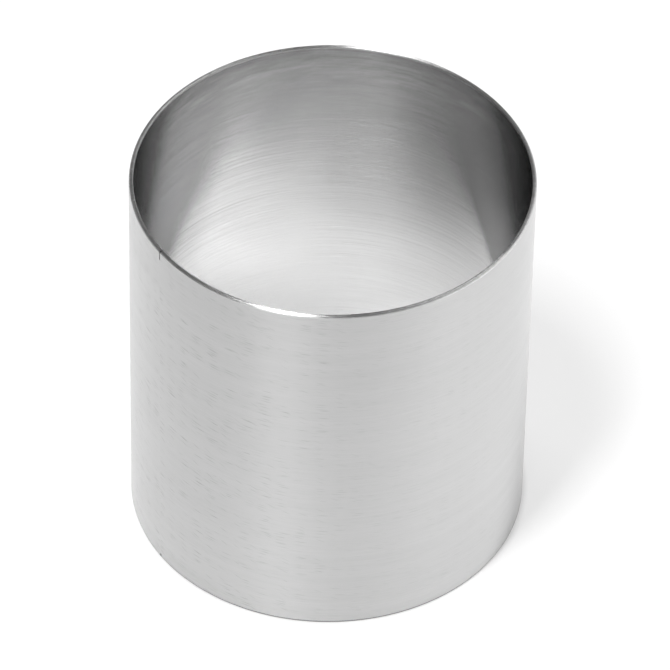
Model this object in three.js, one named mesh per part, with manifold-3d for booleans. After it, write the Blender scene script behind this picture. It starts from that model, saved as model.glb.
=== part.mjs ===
// Pastry ring: a tall, open-ended ring for shaping, baking and cutting pastry.
//
// One strip of stainless sheet is rolled into a tube and its two ends are butt-welded along
// a single upright seam. The bead is dressed flush outside and left as a low crown inside.
// It stops just short of both rims, so a hairline of the open joint shows at each end.
//
// Millimetres, +Z up. The origin is the centre of the lower rim, on the plane it stands on.
import * as THREE from "three";
import { mergeVertices, toCreasedNormals } from "three/addons/utils/BufferGeometryUtils.js";
import Module from "manifold-3d";

// Driving dimensions of the rolled strip
const OUTER_DIAMETER = 76;
const HEIGHT = 80;
const WALL = 0.8;
const OUTER_EDGE_RADIUS = 0.45; // rounding of both rims, on the outside of the wall
const INNER_EDGE_RADIUS = 0.15; // rounding of both rims, on the inside of the wall

// Driving dimensions of the welded seam
const SEAM_DEGREES = 214; // where the seam stands, counter-clockwise from +X seen from above
const JOINT_GAP = 0.2; // between the strip's two ends, open where the bead stops
const BEAD_WIDTH = 1.2;
const BEAD_STOP_TOP = 2; // open joint left below the upper rim
const BEAD_STOP_BOTTOM = 0.9; // open joint left above the lower rim
const BEAD_CROWN = 0.1; // height of the bead above the inside of the wall
const FUSION_CLEARANCE = 0.02; // keeps the bead and the strip two separate solids

// Fineness of the round surfaces
const RING_SEGMENTS = 144;
const EDGE_STEPS = 4; // along each rounded rim corner
const BEAD_END_STEPS = 8; // along each round end of the bead
const BEAD_SECTION_STEPS = 6; // across the bead, outside and inside
const CREASE_DEGREES = 30; // facets that meet at a smaller angle are shaded as one surface

const outerRadius = OUTER_DIAMETER / 2;
const innerRadius = outerRadius - WALL;

const wasm = await Module();
wasm.setup();

// A closed geometry as a solid that can be joined and cut.
function toSolid(geometry) {
  const bare = geometry.clone();
  bare.deleteAttribute("normal");
  bare.deleteAttribute("uv");
  const merged = mergeVertices(bare);
  return new wasm.Manifold(
    new wasm.Mesh({
      numProp: 3,
      vertProperties: merged.getAttribute("position").array,
      triVerts: new Uint32Array(merged.index.array),
    }),
  );
}

// A solid as a geometry with smooth round faces and sharp corners.
function toGeometry(solid) {
  const { vertProperties, triVerts } = solid.getMesh();
  const geometry = new THREE.BufferGeometry();
  geometry.setAttribute("position", new THREE.BufferAttribute(vertProperties, 3));
  geometry.setIndex(new THREE.BufferAttribute(triVerts, 1));
  return toCreasedNormals(geometry, THREE.MathUtils.degToRad(CREASE_DEGREES));
}

// Points of a quarter round corner, from one wall to the next.
function corner(centreX, centreY, radius, startAngle) {
  const arc = new THREE.EllipseCurve(centreX, centreY, radius, radius, startAngle, startAngle + Math.PI / 2);
  return arc.getPoints(EDGE_STEPS);
}

// Section of the wall, radius against height, with its four rounded rim corners.
function wallSection() {
  const mostRounded = 0.9 * WALL; // leaves a flat land on each rim
  const share = Math.min(1, mostRounded / (OUTER_EDGE_RADIUS + INNER_EDGE_RADIUS));
  const outer = share * OUTER_EDGE_RADIUS;
  const inner = share * INNER_EDGE_RADIUS;
  const section = [
    ...corner(outerRadius - outer, outer, outer, -Math.PI / 2),
    ...corner(outerRadius - outer, HEIGHT - outer, outer, 0),
    ...corner(innerRadius + inner, HEIGHT - inner, inner, Math.PI / 2),
    ...corner(innerRadius + inner, inner, inner, Math.PI),
  ];
  return [...section, section[0].clone()];
}

// The whole wall as if it had no joint: the section turned once about the ring's axis.
function closedWall() {
  const turned = new THREE.LatheGeometry(wallSection(), RING_SEGMENTS);
  return toSolid(turned.rotateX(Math.PI / 2));
}

// Outline of the bead on the wall, across against up: upright, with round ends.
function beadOutline(clearance) {
  const half = BEAD_WIDTH / 2 - clearance;
  const low = BEAD_STOP_BOTTOM + BEAD_WIDTH / 2;
  const high = HEIGHT - BEAD_STOP_TOP - BEAD_WIDTH / 2;
  const outline = new THREE.Shape();
  outline.absarc(0, high, half, 0, Math.PI);
  outline.absarc(0, low, half, Math.PI, 2 * Math.PI);
  return outline;
}

// Outline of the open joint, from below the lower rim to above the upper one.
function jointOutline() {
  const half = JOINT_GAP / 2;
  const past = WALL; // how far the cut runs past each rim
  return new THREE.Shape([
    new THREE.Vector2(-half, -past),
    new THREE.Vector2(half, -past),
    new THREE.Vector2(half, HEIGHT + past),
    new THREE.Vector2(-half, HEIGHT + past),
  ]);
}

// An outline drawn on the wall at +X, carried right through the wall's thickness.
function throughWall(outline) {
  const spare = WALL + BEAD_CROWN; // on each side of the wall
  const cutter = new THREE.ExtrudeGeometry(outline, {
    depth: WALL + 2 * spare,
    bevelEnabled: false,
    curveSegments: BEAD_END_STEPS,
  });
  const acrossUpOut = new THREE.Matrix4().makeBasis(
    new THREE.Vector3(0, 1, 0),
    new THREE.Vector3(0, 0, 1),
    new THREE.Vector3(1, 0, 0),
  );
  return toSolid(cutter.applyMatrix4(acrossUpOut).translate(innerRadius - spare, 0, 0));
}

// Section of the bead seen from above: flush with the wall outside, crowned inside.
function beadSection() {
  const half = BEAD_WIDTH / 2;
  const outerReach = Math.asin(half / outerRadius);
  const innerEdge = innerRadius * Math.cos(Math.asin(half / innerRadius));
  const rise = innerEdge - (innerRadius - BEAD_CROWN);
  const crownRadius = (half * half + rise * rise) / (2 * rise);
  const crownCentre = innerRadius - BEAD_CROWN + crownRadius;
  const crownReach = Math.atan2(half, crownCentre - innerEdge);
  const section = new THREE.Shape();
  section.absarc(0, 0, outerRadius, -outerReach, outerReach);
  section.absarc(crownCentre, 0, crownRadius, Math.PI - crownReach, Math.PI + crownReach);
  return section;
}

// The rolled strip: the wall with its joint, and the bay that the bead fills, cut out of it.
function rolledStrip() {
  return closedWall().subtract(throughWall(jointOutline())).subtract(throughWall(beadOutline(0)));
}

// The bead: its section drawn up the seam and trimmed to its round-ended outline.
function seamBead() {
  const drawnUp = new THREE.ExtrudeGeometry(beadSection(), {
    depth: HEIGHT,
    bevelEnabled: false,
    curveSegments: BEAD_SECTION_STEPS,
  });
  return toSolid(drawnUp).intersect(throughWall(beadOutline(FUSION_CLEARANCE)));
}

const satinSteel = new THREE.MeshStandardMaterial({ color: 0xc8c8c9, roughness: 0.38, metalness: 1 });
const dressedWeld = new THREE.MeshStandardMaterial({ color: 0xbdbdbe, roughness: 0.45, metalness: 1 });

function piece(name, solid, material) {
  const mesh = new THREE.Mesh(toGeometry(solid), material);
  mesh.name = name;
  return mesh;
}

// Both pieces are made with the seam at +X, and the seam frame turns it to its place.
const seamFrame = new THREE.Group();
seamFrame.rotation.z = THREE.MathUtils.degToRad(SEAM_DEGREES);
seamFrame.add(piece("ring_band", rolledStrip(), satinSteel));
seamFrame.add(piece("weld_seam", seamBead(), dressedWeld));

const pastryRing = new THREE.Group();
pastryRing.name = "pastry_ring";
pastryRing.add(seamFrame);

export default pastryRing;
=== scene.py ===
import math

import bmesh
import bpy
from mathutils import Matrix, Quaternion, Vector


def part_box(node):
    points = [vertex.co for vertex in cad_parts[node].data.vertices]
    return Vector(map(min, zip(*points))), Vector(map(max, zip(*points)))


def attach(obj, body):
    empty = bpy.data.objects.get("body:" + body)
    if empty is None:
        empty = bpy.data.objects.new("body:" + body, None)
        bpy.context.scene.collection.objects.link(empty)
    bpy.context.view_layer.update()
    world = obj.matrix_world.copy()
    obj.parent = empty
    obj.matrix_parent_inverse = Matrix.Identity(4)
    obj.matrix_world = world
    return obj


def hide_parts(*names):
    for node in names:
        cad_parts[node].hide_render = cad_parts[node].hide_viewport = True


# A tall pastry ring of brushed stainless sheet, standing on a white studio floor.
# Metres, +Z up, the ring's axis on Z and the front at -Y.

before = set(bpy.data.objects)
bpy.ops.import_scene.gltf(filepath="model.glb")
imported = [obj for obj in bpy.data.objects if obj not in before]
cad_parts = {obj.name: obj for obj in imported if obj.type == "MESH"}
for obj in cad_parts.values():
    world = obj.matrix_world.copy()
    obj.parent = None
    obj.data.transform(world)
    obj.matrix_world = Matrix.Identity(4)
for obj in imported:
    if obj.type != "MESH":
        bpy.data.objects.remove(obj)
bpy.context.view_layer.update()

MM = 0.001

# The camera of the photograph, and its place round the ring
CAMERA_LENS_MM = 350.6
CAMERA_DISTANCE = 1.2433
CAMERA_ELEVATION = math.radians(43.47)
CAMERA_ROLL = math.radians(1.21)
CAMERA_AIM = Vector((1.0, -0.2, 39.8)) * MM
CAMERA_CENTRE = Vector((0, 0, 40)) * MM

# The rolled strip and its seam
OUTER_EDGE = 0.45 * MM  # rounding of both rims outside
INNER_EDGE = 0.15 * MM  # rounding of both rims inside
JOINT_GAP = 0.2 * MM  # between the strip's ends, open where the bead stops
BEAD_WIDTH = 1.2 * MM
BEAD_CROWN = 0.1 * MM  # the bead's height above the wall inside
RIPPLE_PITCH = 0.7 * MM  # along the bead, inside
RIPPLE_HEIGHT = 0.02 * MM
OVALITY = 0.13 * MM  # how far the wall bulges at the seam and opposite it

# Fineness of the meshes
COLUMNS = 360  # round the ring
CORNER_STEPS = 8  # round each rim corner
EDGE_ROW = 0.1 * MM  # height of the wall's row next to each rim
WALL_ROWS = 16  # up the plain wall
END_STEPS = 8  # round each end of the bead
BEAD_COLUMNS = 8  # across the bead
ROWS_PER_RIPPLE = 5
CREASE = math.radians(40)  # faces that meet at more than this keep a sharp edge

# The texture maps, as shares of their width
UV_MAP = "OFBake"
STRIP_SHARE = 0.98  # taken by the strip's length
CUT_PLACES = 0.985, 0.995  # where the strip's two cut ends lie
CUT_SHARE = 0.004  # taken by each cut end
BEAD_SIDE_SHARE = 0.45  # taken by each side of the bead

# Finishes of the strip, by their place in its list of materials
OUTSIDE, INSIDE, RIM, JOINT = range(4)

# The marks of the finishes, in mm where nothing else is said
NOISE_LIMITS = 0.3, 0.7  # most of a noise's values lie between these
BRUSH_LENGTH = 45.0
BRUSH_WIDTH = 0.06
BRUSH_SLANT = 0.002  # how far a stroke leans for each mm round the ring
BRUSH_SOFTNESS = 0.04  # how far the noise swings at a stroke's edge
BRUSH_TONE = 0.04  # share by which the strokes change the tone
BRUSH_DEPTH = 0.01 * MM  # of the bump, in metres
BRUSH_BUMP = 0.15  # strength of the bump
ALONG_BRUSHING = 0.25  # turn from the texture map's width to the brushing, in whole turns
CLUSTER_LIMITS = 0.46, 0.56  # of the noise, between which the dashes appear
GROWTH = 70.0, 110.0  # from opposite the seam, where dashes and hatching start to grow and are full
JOINT_DARKENING_REACH = 0.35, 0.2  # from the seam's line, where the darkening beside the joint ends and where it is full
JOINT_DARKENING_FADE = 0.2  # above the foot of the bead, where the darkening beside the joint has ended
SMUDGE_RISE = 0.86, 0.94  # shares of the ring's height between which the smudges grow
SHADE_BAND_UNDER_RIM = 5.0  # height of the band of painted shade under the upper rim, inside

# The studio
LAMP_DISTANCE = 1.5
KEY_AZIMUTH = math.radians(-36)  # left of the front
KEY_ELEVATION = math.radians(68)
KEY_SIZE = 0.2, 0.34
KEY_POWER = 19.5
TOP_AZIMUTH = math.radians(-150)  # left of the back
TOP_ELEVATION = math.radians(75)
TOP_SIZE = 0.25, 0.25
TOP_POWER = 4.6
BACK_AZIMUTH = math.radians(150)  # right of the back
BACK_ELEVATION = math.radians(60)
BACK_SIZE = 0.45, 0.45
BACK_POWER = 1.2
WALL_SIDE = math.radians(95)  # a white wall stands at the right
WALL_START = 0.15  # where the wall begins, as the cosine of the angle to its middle
WALL_TOP = 0.7  # where the wall ends above, as the sine of the elevation
WALL_STRENGTH = 2.4
DIM_STRENGTH = 0.18  # of the rest of the studio
WHITE = (1, 1, 1, 1)

# The floor, which shows whiter to the picture and to the metal than its paper is
FLOOR_SIZE = 8.0
FLOOR_COLOUR = (0.94, 0.94, 0.94, 1)
FLOOR_WHITE = 0.65  # share of plain white that the picture mixes into the paper
FLOOR_SIDE = math.radians(150)  # what the metal mirrors is whiter towards this side, right of the back
FLOOR_LIFTS = 0.0, 0.36  # white added to what the metal mirrors, at the start of its rise and at the end
FLOOR_REACH = 0.13  # from the ring's axis to the start of the rise, on the other side
CONTACT_SHADOW_SHARE = 0.65  # of the mixed and the added white that is left against the ring's foot, a painted contact shadow
CONTACT_SHADOW_REACH = 1.2 * MM  # from the foot to where both are whole and the painted contact shadow ends

band_low, band_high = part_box("ring_band")
bead_low, bead_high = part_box("weld_seam")
band_radii = [vertex.co.xy.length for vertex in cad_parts["ring_band"].data.vertices]
OUTER_RADIUS = max(band_radii)
INNER_RADIUS = min(band_radii)
HEIGHT = band_high.z
SEAM_ANGLE = math.atan2(bead_low.y + bead_high.y, bead_low.x + bead_high.x)


def half_opening(height):
    """Half the distance between the strip's ends at a height: the bead's bay, or the open joint."""
    radius = BEAD_WIDTH / 2
    past_end = max(bead_low.z + radius - height, height - bead_high.z + radius, 0)
    bay = math.sqrt(max(radius ** 2 - past_end ** 2, 0))
    return max(bay, JOINT_GAP / 2)


def bead_end_rise(step):
    """How far a step round the bead's end lies from the end's tip."""
    return BEAD_WIDTH / 2 * (1 - math.cos(math.pi / 2 * step / END_STEPS))


def wall_heights():
    """Heights of the wall's rows from the lower rim up, close together at the bead's round ends."""
    heights = [OUTER_EDGE, OUTER_EDGE + EDGE_ROW]
    heights += [bead_low.z + bead_end_rise(step) for step in range(END_STEPS + 1)]
    first = bead_low.z + BEAD_WIDTH / 2
    last = bead_high.z - BEAD_WIDTH / 2
    heights += [first + (last - first) * row / WALL_ROWS for row in range(1, WALL_ROWS)]
    heights += [bead_high.z - bead_end_rise(step) for step in reversed(range(END_STEPS + 1))]
    heights += [HEIGHT - OUTER_EDGE - EDGE_ROW, HEIGHT - OUTER_EDGE]
    return heights


def corner(centre, radius, start):
    """Points of a quarter-round rim corner, radius against height, without its two ends."""
    turns = [start + math.pi / 2 * step / CORNER_STEPS for step in range(1, CORNER_STEPS)]
    return [(centre[0] + radius * math.cos(turn), centre[1] + radius * math.sin(turn)) for turn in turns]


def wall_profile():
    """The wall's closed section and the finish of each stretch: (radius, height, finish up to the next)."""
    heights = wall_heights()
    outer_land = OUTER_RADIUS - OUTER_EDGE
    inner_land = INNER_RADIUS + INNER_EDGE
    outer_low = corner((outer_land, OUTER_EDGE), OUTER_EDGE, -math.pi / 2)
    outer_top = corner((outer_land, HEIGHT - OUTER_EDGE), OUTER_EDGE, 0)
    inner_top = corner((inner_land, HEIGHT - INNER_EDGE), INNER_EDGE, math.pi / 2)
    inner_low = corner((inner_land, INNER_EDGE), INNER_EDGE, math.pi)
    rim_low = [(outer_land, 0), *outer_low]
    outside = [(OUTER_RADIUS, height) for height in heights]
    rim_top = [*outer_top, (outer_land, HEIGHT), (inner_land, HEIGHT), *inner_top]
    inside = [(INNER_RADIUS, height) for height in reversed(heights)]
    rim_last = [*inner_low, (inner_land, 0)]
    profile = [(*point, RIM) for point in rim_low]
    profile += [(*point, OUTSIDE) for point in outside[:-1]] + [(*outside[-1], RIM)]
    profile += [(*point, RIM) for point in rim_top]
    profile += [(*point, INSIDE) for point in inside[:-1]] + [(*inside[-1], RIM)]
    profile += [(*point, RIM) for point in rim_last]
    return profile


def on_wall(radius, angle, height):
    """A point on the slightly oval wall, at a radius of the ideal ring."""
    bulge = OVALITY * math.cos(2 * (angle - SEAM_ANGLE))
    return Vector(((radius + bulge) * math.cos(angle), (radius + bulge) * math.sin(angle), height))


def finish_mesh(name, shape, materials):
    """A bmesh as a smooth-shaded object with sharp creases and its materials."""
    bmesh.ops.recalc_face_normals(shape, faces=shape.faces)
    mesh = bpy.data.meshes.new(name)
    shape.to_mesh(mesh)
    shape.free()
    for material in materials:
        mesh.materials.append(material)
    mesh.shade_smooth()
    mesh.set_sharp_from_angle(angle=CREASE)
    piece = bpy.data.objects.new(name, mesh)
    bpy.context.scene.collection.objects.link(piece)
    return piece


def lay_out(face, uv_layer, places):
    """Puts a face's corners at their places on the texture map, by vertex."""
    for loop in face.loops:
        loop[uv_layer].uv = places[loop.vert]


def make_band(materials):
    """The rolled strip: its section carried round from one end of the joint to the other."""
    profile = wall_profile()
    shape = bmesh.new()
    uv_layer = shape.loops.layers.uv.new(UV_MAP)
    grid = []
    for radius, height, _ in profile:
        opening = math.asin(half_opening(height) / radius)
        sweep = 2 * math.pi - 2 * opening
        angles = [SEAM_ANGLE + opening + sweep * column / COLUMNS for column in range(COLUMNS + 1)]
        grid.append([shape.verts.new(on_wall(radius, angle, height)) for angle in angles])
    lengths = [0]
    for here, following in zip(profile, profile[1:] + profile[:1]):
        lengths.append(lengths[-1] + math.dist(here[:2], following[:2]))
    for row, (_, _, finish) in enumerate(profile):
        following = (row + 1) % len(profile)
        low, high = lengths[row] / lengths[-1], lengths[row + 1] / lengths[-1]
        for column in range(COLUMNS):
            left, right = (STRIP_SHARE * (column + step) / COLUMNS for step in (0, 1))
            here = grid[row][column], grid[row][column + 1]
            there = grid[following][column], grid[following][column + 1]
            face = shape.faces.new((here[0], here[1], there[1], there[0]))
            face.material_index = finish
            lay_out(face, uv_layer, {here[0]: (left, low), here[1]: (right, low),
                                     there[0]: (left, high), there[1]: (right, high)})
    for column, place in zip((0, COLUMNS), CUT_PLACES):
        close_joint(shape, uv_layer, [row[column] for row in grid], profile, place)
    return finish_mesh("ring_band_sheet", shape, materials)


def close_joint(shape, uv_layer, ends, profile, place):
    """The strip's cut end: squares across the wall row by row, and one face over each rim."""
    finishes = [finish for _, _, finish in profile]
    first, last = finishes.index(OUTSIDE), finishes.index(INSIDE)
    count = len(wall_heights())
    outside = ends[first:first + count]
    inside = list(reversed(ends[last:last + count]))
    places = {vert: (place + (CUT_SHARE if vert in inside else 0), vert.co.z / HEIGHT) for vert in ends}
    faces = []
    for row in range(count - 1):
        faces.append((outside[row], outside[row + 1], inside[row + 1], inside[row]))
    faces.append(ends[first + count - 1:last + 1])
    faces.append(ends[last + count - 1:] + ends[:first + 1])
    for verts in faces:
        face = shape.faces.new(verts)
        face.material_index = JOINT
        lay_out(face, uv_layer, places)


def make_bead(materials):
    """The weld bead: flush outside, a low rippled crown inside, round at both ends."""
    shape = bmesh.new()
    uv_layer = shape.loops.layers.uv.new(UV_MAP)
    radius = BEAD_WIDTH / 2
    rows = round((bead_high.z - bead_low.z) / RIPPLE_PITCH) * ROWS_PER_RIPPLE
    first, last = bead_low.z + radius, bead_high.z - radius
    heights = [bead_low.z + bead_end_rise(step) for step in range(1, END_STEPS)]
    heights += [first + (last - first) * row / rows for row in range(rows + 1)]
    heights += [bead_high.z - bead_end_rise(step) for step in reversed(range(1, END_STEPS))]
    outer, inner = [], []
    for height in heights:
        half = half_opening(height)
        fade = half / radius
        ripple = RIPPLE_HEIGHT * math.cos(2 * math.pi * height / RIPPLE_PITCH)
        outer_row, inner_row = [], []
        for column in range(BEAD_COLUMNS + 1):
            across = 2 * column / BEAD_COLUMNS - 1
            rise = (BEAD_CROWN + ripple * fade) * fade * (1 - across ** 2)
            outer_row.append(shape.verts.new(bead_point(OUTER_RADIUS, across * half, height)))
            inner_row.append(shape.verts.new(bead_point(INNER_RADIUS, across * half, height, rise)))
        outer.append(outer_row)
        inner.append(inner_row)
    for index, side in enumerate((outer, inner)):
        for row in range(len(heights) - 1):
            low, high = (heights[row + step] / HEIGHT for step in (0, 1))
            for column in range(BEAD_COLUMNS):
                sides = [BEAD_SIDE_SHARE * (column + step) / BEAD_COLUMNS for step in (0, 1)]
                left, right = (index / 2 + place for place in sides)
                here = side[row][column], side[row][column + 1]
                above = side[row + 1][column], side[row + 1][column + 1]
                face = shape.faces.new((here[0], here[1], above[1], above[0]))
                face.material_index = index
                lay_out(face, uv_layer, {here[0]: (left, low), here[1]: (right, low),
                                         above[0]: (left, high), above[1]: (right, high)})
    boundary = [edge for edge in shape.edges if edge.is_boundary]
    bmesh.ops.bridge_loops(shape, edges=boundary)
    return finish_mesh("weld_seam_bead", shape, materials)


def bead_point(radius, across, height, rise=0.0):
    """A point on the bead, across from the seam's line, raised towards the ring's axis."""
    angle = SEAM_ANGLE + math.asin(across / radius)
    return on_wall(radius - rise, angle, height)


def add(tree, kind, inputs=None, **settings):
    """A shader node with its settings, its input values and its links."""
    made = tree.nodes.new(kind)
    for name, value in settings.items():
        setattr(made, name, value)
    for name, value in (inputs or {}).items():
        if isinstance(value, bpy.types.NodeSocket):
            tree.links.new(value, made.inputs[name])
        else:
            made.inputs[name].default_value = value
    return made


def math_node(tree, operation, *values):
    """The output of a Math node."""
    return add(tree, "ShaderNodeMath", dict(enumerate(values)), operation=operation).outputs[0]


def product(tree, first, *others):
    """The product of several values."""
    for other in others:
        first = math_node(tree, "MULTIPLY", first, other)
    return first


def vector_node(tree, operation, *values):
    """The vector output of a Vector Math node."""
    return add(tree, "ShaderNodeVectorMath", dict(enumerate(values)), operation=operation).outputs["Vector"]


def length_of(tree, vector):
    """The length of a vector."""
    return add(tree, "ShaderNodeVectorMath", {0: vector}, operation="LENGTH").outputs["Value"]


def new_material(name):
    """A material with an empty node tree and its output node."""
    material = bpy.data.materials.new(name)
    material.use_nodes = True
    tree = material.node_tree
    tree.nodes.clear()
    return material, tree, add(tree, "ShaderNodeOutputMaterial")


def wall_coordinates(tree):
    """Sockets for the place on the wall in millimetres: round the ring from opposite the seam, and up."""
    place = add(tree, "ShaderNodeTexCoord").outputs["Object"]
    turned = add(tree, "ShaderNodeVectorRotate", {"Vector": place, "Angle": math.pi - SEAM_ANGLE},
                 rotation_type="Z_AXIS").outputs[0]
    parts = add(tree, "ShaderNodeSeparateXYZ", {"Vector": turned}).outputs
    angle = math_node(tree, "ARCTAN2", parts["Y"], parts["X"])
    return product(tree, angle, OUTER_RADIUS / MM), product(tree, parts["Z"], 1 / MM)


def strokes(tree, around, up, length, width, slant=0.0, seed=0.0):
    """Noise drawn out round the ring: strokes of about a length and a width in mm, at a slant."""
    leaning = math_node(tree, "MULTIPLY_ADD", around, slant, up)
    place = add(tree, "ShaderNodeCombineXYZ", {
        "X": math_node(tree, "DIVIDE", around, length),
        "Y": math_node(tree, "DIVIDE", leaning, width),
        "Z": seed,
    }).outputs[0]
    settings = {"Vector": place, "Scale": 1.0, "Detail": 3.0, "Roughness": 0.6}
    return add(tree, "ShaderNodeTexNoise", settings).outputs["Fac"]


def mapped(tree, value, low, high, to_low, to_high):
    """A value carried from one range to another and held inside it."""
    return add(tree, "ShaderNodeMapRange", {"Value": value, "From Min": low, "From Max": high,
                                            "To Min": to_low, "To Max": to_high}).outputs[0]


def swing(tree, noise):
    """A noise value carried to the range from -1 to 1."""
    return mapped(tree, noise, *NOISE_LIMITS, -1, 1)


def scratches(tree, around, up, cell, stroke, slant, seed, share):
    """Sparse fine strokes: 1 on a stroke and 0 off it.

    A share of the cells holds one stroke each. Cells and strokes are a length and a height in mm.
    """
    leaning = math_node(tree, "MULTIPLY_ADD", around, slant, up)
    place = add(tree, "ShaderNodeCombineXYZ", {
        "X": math_node(tree, "MULTIPLY_ADD", around, 1 / cell[0], seed),
        "Y": math_node(tree, "DIVIDE", leaning, cell[1]),
    }).outputs[0]
    settings = {"Vector": place, "Scale": 1.0}
    cells = add(tree, "ShaderNodeTexVoronoi", settings, voronoi_dimensions="2D").outputs
    offset = vector_node(tree, "SUBTRACT", place, cells["Position"])
    offset = vector_node(tree, "MULTIPLY", offset, (2 * cell[0] / stroke[0], 2 * cell[1] / stroke[1], 0))
    on_stroke = mapped(tree, length_of(tree, offset), 0.3, 1.0, 1.0, 0.0)
    chance = add(tree, "ShaderNodeSeparateColor", {"Color": cells["Color"]}).outputs["Red"]
    return product(tree, on_stroke, mapped(tree, chance, 1 - share, 1, 0, 1))


def toned(tree, tone, *changes):
    """A grey colour: a tone darkened or lightened by changes, each of which is a mark and its strength."""
    for mark, strength in changes:
        factor = math_node(tree, "MULTIPLY_ADD", mark, strength, 1.0)
        tone = product(tree, factor, tone)
    return add(tree, "ShaderNodeCombineColor", {"Red": tone, "Green": tone, "Blue": tone}).outputs[0]


def outside_marks(tree, around, up):
    """Marks on the outside: soft bands, drawn lines, dashes and hatching, and darker steel beside the joint
    at its foot.

    The dashes lie in clusters, and they and the hatching are stronger towards the seam.
    """
    bands = swing(tree, strokes(tree, around, up, length=45.0, width=2.4, slant=0.01, seed=3.0))
    drawn = swing(tree, strokes(tree, around, up, length=9.0, width=0.3, slant=0.01, seed=13.0))
    patches = strokes(tree, around, up, length=8.0, width=4.0, seed=7.0)
    clusters = mapped(tree, patches, *CLUSTER_LIMITS, 0.1, 1)
    from_far_side = math_node(tree, "ABSOLUTE", around)
    by_seam = mapped(tree, from_far_side, *GROWTH, 0.3, 1)
    dashes = scratches(tree, around, up, cell=(3.6, 0.45), stroke=(3.0, 0.22),
                       slant=0.06, seed=11.0, share=0.7)
    dashes = product(tree, dashes, clusters, by_seam)
    hatching = scratches(tree, around, up, cell=(3.2, 1.1), stroke=(2.2, 0.22),
                         slant=0.4, seed=5.0, share=0.4)
    hatching = product(tree, hatching, by_seam)
    seam = math.pi * OUTER_RADIUS / MM
    bead_foot = bead_low.z / MM
    # darker steel beside the open joint below the bead
    at_joint = mapped(tree, from_far_side, seam - JOINT_DARKENING_REACH[0], seam - JOINT_DARKENING_REACH[1], 0, 1)
    darker_by_joint = product(tree, at_joint, mapped(tree, up, bead_foot, bead_foot + JOINT_DARKENING_FADE, 1, 0))
    return (bands, 0.02), (drawn, 0.025), (dashes, -0.36), (hatching, -0.26), (darker_by_joint, -0.5)


def inside_marks(tree, around, up):
    """Marks on the inside: drawn lines, crossing arcs, bright nicks, smudges, and a band of painted shade
    at the top.
    """
    top = HEIGHT / MM
    drawn = swing(tree, strokes(tree, around, up, length=40.0, width=0.5, slant=0.01, seed=9.0))
    arcs = scratches(tree, around, up, cell=(36.0, 1.6), stroke=(32.0, 0.25),
                     slant=0.02, seed=21.0, share=0.5)
    crossing = scratches(tree, around, up, cell=(28.0, 2.4), stroke=(24.0, 0.25),
                         slant=-0.05, seed=33.0, share=0.4)
    nicks = scratches(tree, around, up, cell=(12.0, 5.0), stroke=(4.0, 0.25),
                      slant=0.05, seed=45.0, share=0.3)
    smudges = swing(tree, strokes(tree, around, up, length=8.0, width=1.4, slant=0.08, seed=50.0))
    near_top = mapped(tree, up, SMUDGE_RISE[0] * top, SMUDGE_RISE[1] * top, 0, 1)
    smudges = product(tree, smudges, near_top)
    # painted shade: the metal darkens towards the upper rim
    painted_shade_under_rim = mapped(tree, up, top - SHADE_BAND_UNDER_RIM, top, 0, 1)
    return (drawn, 0.015), (arcs, -0.065), (crossing, -0.05), (nicks, 0.12), (smudges, 0.14), (painted_shade_under_rim, -0.25)


def rim_marks(tree, around, up):
    """Marks on the rims: uneven wear along the edge, and a painted contact shadow round the lower rim's
    corner.
    """
    wear = swing(tree, strokes(tree, around, up, length=1.2, width=0.3, seed=3.0))
    edge = OUTER_EDGE / MM
    # painted contact shadow: dark round the lower outside corner, where the ring meets the floor
    below_wall = mapped(tree, up, 0.9 * edge, edge, 1, 0)
    painted_contact_shadow = product(tree, below_wall, mapped(tree, up, 0, 0.2 * edge, 0, 1))
    return (wear, 0.15), (painted_contact_shadow, -0.85)


def brushed_steel(name, marks, tone, smooth, rough, cover, stretch, edge):
    """Satin steel: rough brush strokes round the ring cover a share of the smoother sheet.

    The strokes blur reflections across the brushing, and the sheet between them keeps them sharper.
    The edge is how much of the metal's brightening at grazing angles is kept.
    """
    material, tree, output = new_material(name)
    around, up = wall_coordinates(tree)
    noise = strokes(tree, around, up, BRUSH_LENGTH, BRUSH_WIDTH, BRUSH_SLANT)
    middle = 0.5 + 0.25 * (0.5 - cover)  # the noise is above this on about the covered share
    brushed = mapped(tree, noise, middle - BRUSH_SOFTNESS, middle + BRUSH_SOFTNESS, 0, 1)
    grain = swing(tree, noise)
    bump = add(tree, "ShaderNodeBump", {"Strength": BRUSH_BUMP, "Distance": BRUSH_DEPTH, "Height": grain})
    shader = add(tree, "ShaderNodeBsdfPrincipled", {
        "Base Color": toned(tree, tone, (grain, BRUSH_TONE), *marks(tree, around, up)),
        "Metallic": 1.0,
        "Roughness": math_node(tree, "MULTIPLY_ADD", brushed, rough - smooth, smooth),
        "Specular Tint": (edge, edge, edge, 1),
        "Normal": bump.outputs[0],
        "Anisotropic": stretch,
        "Anisotropic Rotation": ALONG_BRUSHING,
        "Tangent": add(tree, "ShaderNodeTangent", direction_type="UV_MAP", uv_map=UV_MAP).outputs[0],
    })
    tree.links.new(shader.outputs[0], output.inputs[0])
    return material


def dark_blotchy_steel(name, tone, roughness):
    """Dark steel, blotchy."""
    material, tree, output = new_material(name)
    around, up = wall_coordinates(tree)
    blotches = swing(tree, strokes(tree, around, up, length=0.5, width=0.5, seed=60.0))
    shader = add(tree, "ShaderNodeBsdfPrincipled", {
        "Base Color": toned(tree, tone, (blotches, 0.3)),
        "Metallic": 1.0,
        "Roughness": math_node(tree, "MULTIPLY_ADD", blotches, 0.1, roughness),
    })
    tree.links.new(shader.outputs[0], output.inputs[0])
    return material


def direction_of(azimuth, elevation):
    """Unit vector from the ring towards a place round it: azimuth 0 is the front, positive to the right."""
    return Vector((math.sin(azimuth) * math.cos(elevation), -math.cos(azimuth) * math.cos(elevation),
                   math.sin(elevation)))


def towards(tree, place, azimuth):
    """A socket that grows from one side of the studio to the side at an azimuth."""
    return add(tree, "ShaderNodeVectorMath", {0: place, 1: direction_of(azimuth, 0)},
               operation="DOT_PRODUCT").outputs["Value"]


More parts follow.
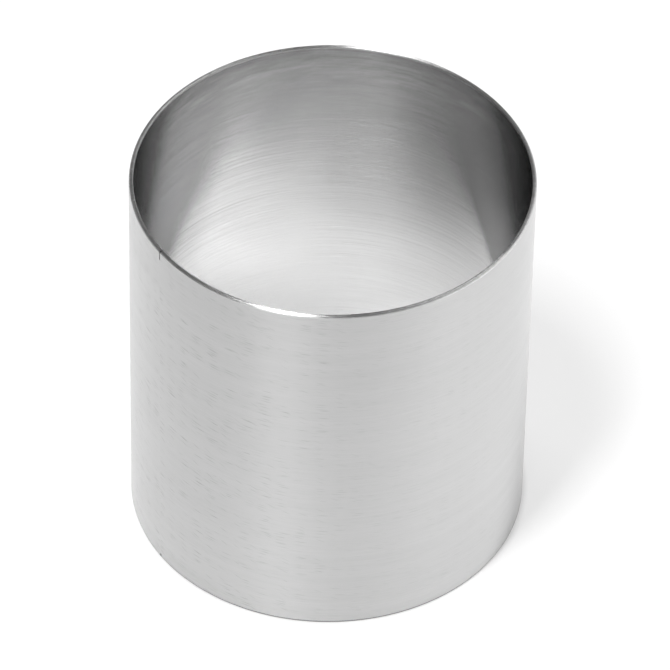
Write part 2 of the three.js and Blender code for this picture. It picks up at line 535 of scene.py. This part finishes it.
def make_floor():
    """A wide white floor, whiter to the picture and to the metal, which keeps the ring's shadow and has a
    painted contact shadow against the ring's foot.
    """
    mesh = bpy.data.meshes.new("studio_floor")
    half = FLOOR_SIZE / 2
    corners = [(-half, -half, 0), (half, -half, 0), (half, half, 0), (-half, half, 0)]
    mesh.from_pydata(corners, [], [(0, 1, 2, 3)])
    floor = bpy.data.objects.new("studio_floor", mesh)
    bpy.context.scene.collection.objects.link(floor)
    material, tree, output = new_material("white_floor")
    rays = add(tree, "ShaderNodeLightPath").outputs
    mirrored = math_node(tree, "MAXIMUM", rays["Is Glossy Ray"], rays["Is Transmission Ray"])
    place = add(tree, "ShaderNodeTexCoord").outputs["Object"]
    from_wall = math_node(tree, "SUBTRACT", length_of(tree, place), OUTER_RADIUS)
    # painted contact shadow: less white against the ring's foot
    white_left_by_contact_shadow = mapped(tree, math_node(tree, "ABSOLUTE", from_wall), 0, CONTACT_SHADOW_REACH, CONTACT_SHADOW_SHARE, 1)
    rise = mapped(tree, towards(tree, place, FLOOR_SIDE), -FLOOR_REACH, -OUTER_RADIUS / 2, *FLOOR_LIFTS)
    paper = add(tree, "ShaderNodeBsdfDiffuse", {"Color": FLOOR_COLOUR}).outputs[0]
    strength = product(tree, mirrored, rise, white_left_by_contact_shadow)
    lift = add(tree, "ShaderNodeEmission", {"Color": WHITE, "Strength": strength}).outputs[0]
    lit = add(tree, "ShaderNodeAddShader", {0: paper, 1: lift}).outputs[0]
    white = add(tree, "ShaderNodeEmission", {"Color": WHITE, "Strength": 1.0}).outputs[0]
    share = product(tree, rays["Is Camera Ray"], FLOOR_WHITE, white_left_by_contact_shadow)
    shown = add(tree, "ShaderNodeMixShader", {0: share, 1: lit, 2: white}).outputs[0]
    tree.links.new(shown, output.inputs[0])
    mesh.materials.append(material)


def make_dome():
    """The studio all round, as the world's light: dim, with a low white wall at the right."""
    world = bpy.data.worlds.new("studio")
    bpy.context.scene.world = world
    world.use_nodes = True
    tree = world.node_tree
    tree.nodes.clear()
    place = add(tree, "ShaderNodeTexCoord").outputs["Generated"]
    rise = add(tree, "ShaderNodeSeparateXYZ", {"Vector": place}).outputs["Z"]
    across = mapped(tree, towards(tree, place, WALL_SIDE), WALL_START, 1, 0, 1)
    wall = product(tree, across, mapped(tree, rise, 0, WALL_TOP, 1, 0))
    strength = math_node(tree, "MULTIPLY_ADD", wall, WALL_STRENGTH, DIM_STRENGTH)
    light = add(tree, "ShaderNodeBackground", {"Color": WHITE, "Strength": strength}).outputs[0]
    output = add(tree, "ShaderNodeOutputWorld")
    tree.links.new(light, output.inputs[0])


def make_lamp(name, azimuth, elevation, size, power):
    """A softbox of a width and a height, aimed at the ring."""
    light = bpy.data.lights.new(name, "AREA")
    light.shape = "RECTANGLE"
    light.size, light.size_y = size
    light.energy = power
    lamp = bpy.data.objects.new(name, light)
    bpy.context.scene.collection.objects.link(lamp)
    outwards = direction_of(azimuth, elevation)
    lamp.location = CAMERA_CENTRE + LAMP_DISTANCE * outwards
    lamp.rotation_euler = (-outwards).to_track_quat("-Z", "Y").to_euler()


def make_camera():
    """The photograph's view."""
    lens = bpy.data.cameras.new("camera")
    lens.lens = CAMERA_LENS_MM
    lens.clip_end = 100
    camera = bpy.data.objects.new("camera", lens)
    bpy.context.scene.collection.objects.link(camera)
    camera.location = CAMERA_CENTRE + CAMERA_DISTANCE * direction_of(0, CAMERA_ELEVATION)
    view = (CAMERA_AIM - camera.location).to_track_quat("-Z", "Y")
    camera.rotation_mode = "QUATERNION"
    camera.rotation_quaternion = view @ Quaternion((0, 0, 1), CAMERA_ROLL)
    bpy.context.scene.camera = camera


make_camera()
make_floor()
make_dome()
make_lamp("key_softbox", KEY_AZIMUTH, KEY_ELEVATION, KEY_SIZE, KEY_POWER)
make_lamp("top_softbox", TOP_AZIMUTH, TOP_ELEVATION, TOP_SIZE, TOP_POWER)
make_lamp("back_softbox", BACK_AZIMUTH, BACK_ELEVATION, BACK_SIZE, BACK_POWER)

outside_steel = brushed_steel("brushed_outside", outside_marks, tone=0.475, smooth=0.3, rough=0.36,
                              cover=0.5, stretch=0.93, edge=1.0)
inside_steel = brushed_steel("brushed_inside", inside_marks, tone=0.54, smooth=0.08, rough=0.24,
                             cover=0.4, stretch=1.0, edge=0.55)
rim_steel = brushed_steel("brushed_rim", rim_marks, tone=0.64, smooth=0.27, rough=0.42,
                          cover=0.5, stretch=1.0, edge=0.75)
joint_steel = dark_blotchy_steel("dark_joint", tone=0.12, roughness=0.5)

band = make_band([outside_steel, inside_steel, rim_steel, joint_steel])
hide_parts("ring_band")
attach(band, "root")

bead = make_bead([outside_steel, inside_steel])
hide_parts("weld_seam")
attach(bead, "root")

scene = bpy.context.scene
scene.view_settings.view_transform = "Standard"
# The inside mirrors itself several times over, so rays bounce often before they end
scene.cycles.blur_glossy = 0.1
scene.cycles.max_bounces = 24
scene.cycles.glossy_bounces = 16
scene.cycles.diffuse_bounces = 6
